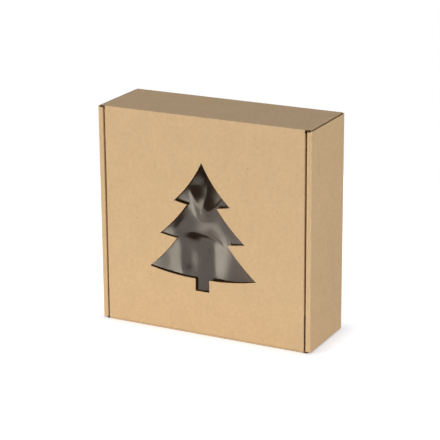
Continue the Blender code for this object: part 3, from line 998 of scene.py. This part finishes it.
class GIFTBOX_OT_stage(bpy.types.Operator):
    """The white table, the lamps, the room and the camera"""

    bl_idname = "gift_box.stage"
    bl_label = "Studio"

    def execute(self, context):
        studio = context.scene.gift_box_studio
        self.lay_table(studio)
        self.light(context, studio)
        self.aim_camera(context, studio)
        context.scene.view_settings.view_transform = "Standard"
        return {"FINISHED"}

    @staticmethod
    def lay_table(studio):
        """A round table top that keeps the box's shadow.

        White laminate is paper under matt resin: bright, even and with hardly any shine.
        """
        material, tree, surface = new_material("white_laminate_table")
        place = add_node(tree, "TexCoord", output="Object")
        # Real grain is under 1 mm and wouldn't show, so this one is 25 mm
        grain = add_node(tree, "TexNoise", {"Vector": place, "Scale": 1 / (25 * MM), "Detail": 2.0})
        seen, mirrored, thrown, within = ways_seen(tree)
        window, ahead = window_light(tree, place, studio)
        away = add_node(tree, "VectorMath", (place,), "Value", operation="LENGTH")
        dusk, beyond, near = (
            add_node(tree, "MapRange", (far, *reach), interpolation_type="SMOOTHSTEP")
            for far, reach in (
                (away, (studio.table_bright, studio.table_radius)),
                (ahead, WINDOW_ON_TABLE),
                (away, (studio.bounce_reach, 0.5 * studio.bounce_reach, 0, studio.table_bounce)),
            )
        )
        # Painted dark reflection: far out, the table turns dark only where the film mirrors it
        dusk = add_node(tree, "Math", (dusk, mirrored), operation="MULTIPLY")
        # Painted shade: the table is darker to light that goes on through the film into the box
        dim = add_node(tree, "Math", (within, studio.inside_painted_shade), operation="MULTIPLY")
        dim = add_node(tree, "Math", (dim, dusk), operation="MAXIMUM")
        tones = {0: dim, 6: studio.table_colour, 7: TABLE_PAINTED_DARK}
        looks = {
            "Base Color": add_node(tree, "Mix", tones, 2, data_type="RGBA"),
            "Roughness": add_node(tree, "MapRange", (grain, *NOISE_RANGE, 0.8, 0.95)),
            "Specular IOR Level": 0.0,
        }

        # What the film mirrors: the table's glow and the window's shine on it
        window = add_node(tree, "Math", (window, beyond), operation="MULTIPLY")
        lit = add_node(tree, "Math", (1.0, dusk), operation="SUBTRACT")
        glow, shine = (
            add_node(tree, "VectorMath", {0: tone, "Scale": share}, operation="SCALE")
            for tone, share in ((studio.mirrored_glow, lit), (studio.window_colour, window))
        )
        light = add_node(tree, "VectorMath", (glow, shine), operation="ADD")
        tones = {0: mirrored, 6: (0, 0, 0), 7: light}
        light = add_node(tree, "Mix", tones, 2, data_type="RGBA")

        # What the camera sees, less near the box's foot as a painted contact shadow, and what the table throws
        # back
        half = (BOX_HIGH - BOX_LOW) / 2
        off = place
        for operation, value in (
            ("SUBTRACT", (0, half.y, 0)),
            ("ABSOLUTE", (0, 0, 0)),
            ("SUBTRACT", (half.x, half.y, 0)),
            ("MAXIMUM", (0, 0, 0)),
        ):
            off = add_node(tree, "VectorMath", (off, value), operation=operation)
        off = add_node(tree, "VectorMath", (off,), "Value", operation="LENGTH")
        # Painted contact shadow: the glow is lower right beside the box's foot
        glow = (off, 0, studio.painted_shadow_reach, studio.painted_shadow_glow, studio.table_glow)
        glow = add_node(tree, "MapRange", glow)
        near = add_node(tree, "Math", (near, thrown), operation="MULTIPLY")
        glow = add_node(tree, "Math", (glow, seen, near), operation="MULTIPLY_ADD")
        light = add_node(tree, "VectorMath", (light, glow), operation="ADD")
        shaders = (
            add_node(tree, "BsdfPrincipled", looks),
            add_node(tree, "Emission", {"Color": light, "Strength": 1.0}),
        )
        tree.links.new(add_node(tree, "AddShader", shaders), surface)
        rim = [
            (studio.table_radius * math.cos(turn), studio.table_radius * math.sin(turn), 0)
            for turn in (math.tau * k / TABLE_SIDES for k in range(TABLE_SIDES))
        ]
        top = mesh_of("table_top", rim, [tuple(range(TABLE_SIDES))])
        table = add_object("table_top", top, material)
        table.location.y = BOX_LOW.y

    @staticmethod
    def light(context, studio):
        """Two soft lamps, in a room that is white where the camera looks.

        What the film mirrors of it is dim, but for a tall window and a light above.
        """
        for name, azimuth, elevation, light, size in (
            ("key_lamp", studio.key_azimuth, studio.key_elevation, studio.key_light, KEY_LAMP),
            ("side_lamp", studio.side_azimuth, studio.side_elevation, studio.side_light, SIDE_LAMP),
        ):
            add_lamp(name, studio.lamp_colour, way_to(azimuth, elevation), light, *size)
        world = bpy.data.worlds.new("white_room")
        world.use_nodes = True
        tree = world.node_tree
        tree.nodes.clear()
        way = add_node(tree, "TexCoord", output="Generated")
        up = add_node(tree, "SeparateXYZ", (way,), 2)
        below_top, above, under_end = (
            add_node(tree, "MapRange", (up, *reach), interpolation_type="SMOOTHSTEP")
            for reach in (WINDOW_TOP, ABOVE_FOOT, ABOVE_TOP)
        )
        above = add_node(tree, "Math", (above, under_end), operation="MULTIPLY")
        above = add_node(tree, "Math", (above, studio.window_light), operation="MULTIPLY")
        window = (window_light(tree, way, studio)[0], below_top, above)
        bright = add_node(tree, "Math", window, operation="MULTIPLY_ADD")
        seen, mirrored, _, within = ways_seen(tree)
        # Painted shade: less of the room's light reaches the box's inside through the film
        kept = add_node(tree, "Math", (within, -studio.inside_painted_shade, 1.0), operation="MULTIPLY_ADD")
        soft, dim = (
            add_node(tree, "VectorMath", {0: tone, "Scale": share}, operation="SCALE")
            for tone, share in (
                (studio.room_colour * studio.room_light, kept),
                (studio.window_colour, bright),
            )
        )
        dusk = studio.room_colour * studio.room_mirrored
        dim = add_node(tree, "VectorMath", (dim, dusk), operation="ADD")
        room = add_node(tree, "Mix", {0: mirrored, 6: soft, 7: dim}, 2, data_type="RGBA")
        room = add_node(tree, "Mix", {0: seen, 6: room, 7: (1, 1, 1)}, 2, data_type="RGBA")
        room = add_node(tree, "Background", {"Color": room, "Strength": 1.0})
        output = tree.nodes.new("ShaderNodeOutputWorld")
        tree.links.new(room, output.inputs["Surface"])
        context.scene.world = world

    @staticmethod
    def aim_camera(context, studio):
        """A camera at the photograph's angle, aimed close to the box's middle."""
        back = way_to(studio.camera_azimuth, studio.camera_elevation)
        level = way_to(studio.camera_azimuth + math.pi / 2, 0)
        upright = back.cross(level)
        turn = studio.camera_roll
        right = level * math.cos(turn) + upright * math.sin(turn)
        up = upright * math.cos(turn) - level * math.sin(turn)
        lens = bpy.data.cameras.new("camera")
        lens.sensor_width = 36.0
        lens.lens = studio.camera_lens
        camera = add_object("camera", lens)
        place = Matrix((right, up, back)).transposed().to_4x4()
        aim = BOX_MIDDLE + right * studio.aim_right + up * studio.aim_up
        place.translation = aim + back * studio.camera_distance
        camera.matrix_world = place
        context.scene.camera = camera


class GIFTBOX_PT_pieces(bpy.types.Panel):
    """The box's pieces, in the order in which they're made, and the settings"""

    bl_label = "Window Gift Box"
    bl_space_type = "VIEW_3D"
    bl_region_type = "UI"
    bl_category = "Gift Box"

    def draw(self, context):
        for operator in OPERATORS:
            self.layout.operator(operator.bl_idname)
        for group in GROUPS:
            settings = getattr(context.scene, group)
            for name in settings.bl_rna.properties.keys():
                if name not in ("rna_type", "name"):
                    self.layout.prop(settings, name)


GROUPS = {
    "gift_box_board": BoardSettings,
    "gift_box_window": WindowSettings,
    "gift_box_studio": StudioSettings,
}
OPERATORS = (
    GIFTBOX_OT_stage,
    GIFTBOX_OT_base,
    GIFTBOX_OT_walls,
    GIFTBOX_OT_rolls,
    GIFTBOX_OT_corner_flaps,
    GIFTBOX_OT_lid,
    GIFTBOX_OT_lid_flaps,
    GIFTBOX_OT_fixed_creases,
    GIFTBOX_OT_turning_creases,
    GIFTBOX_OT_film,
    GIFTBOX_OT_glue,
)


def register():
    """Adds the classes and the scene's settings."""
    for name, group in GROUPS.items():
        bpy.utils.register_class(group)
        setattr(bpy.types.Scene, name, bpy.props.PointerProperty(type=group))
    for item in (*OPERATORS, GIFTBOX_PT_pieces):
        bpy.utils.register_class(item)


def unregister():
    """Takes the settings and the classes away again."""
    for item in reversed((*OPERATORS, GIFTBOX_PT_pieces)):
        bpy.utils.unregister_class(item)
    for name, group in reversed(GROUPS.items()):
        delattr(bpy.types.Scene, name)
        bpy.utils.unregister_class(group)


def main():
    """Makes every piece in order."""
    register()
    for operator in OPERATORS:
        getattr(bpy.ops.gift_box, operator.bl_idname.split(".")[1])()


if __name__ == "__main__":
    main()
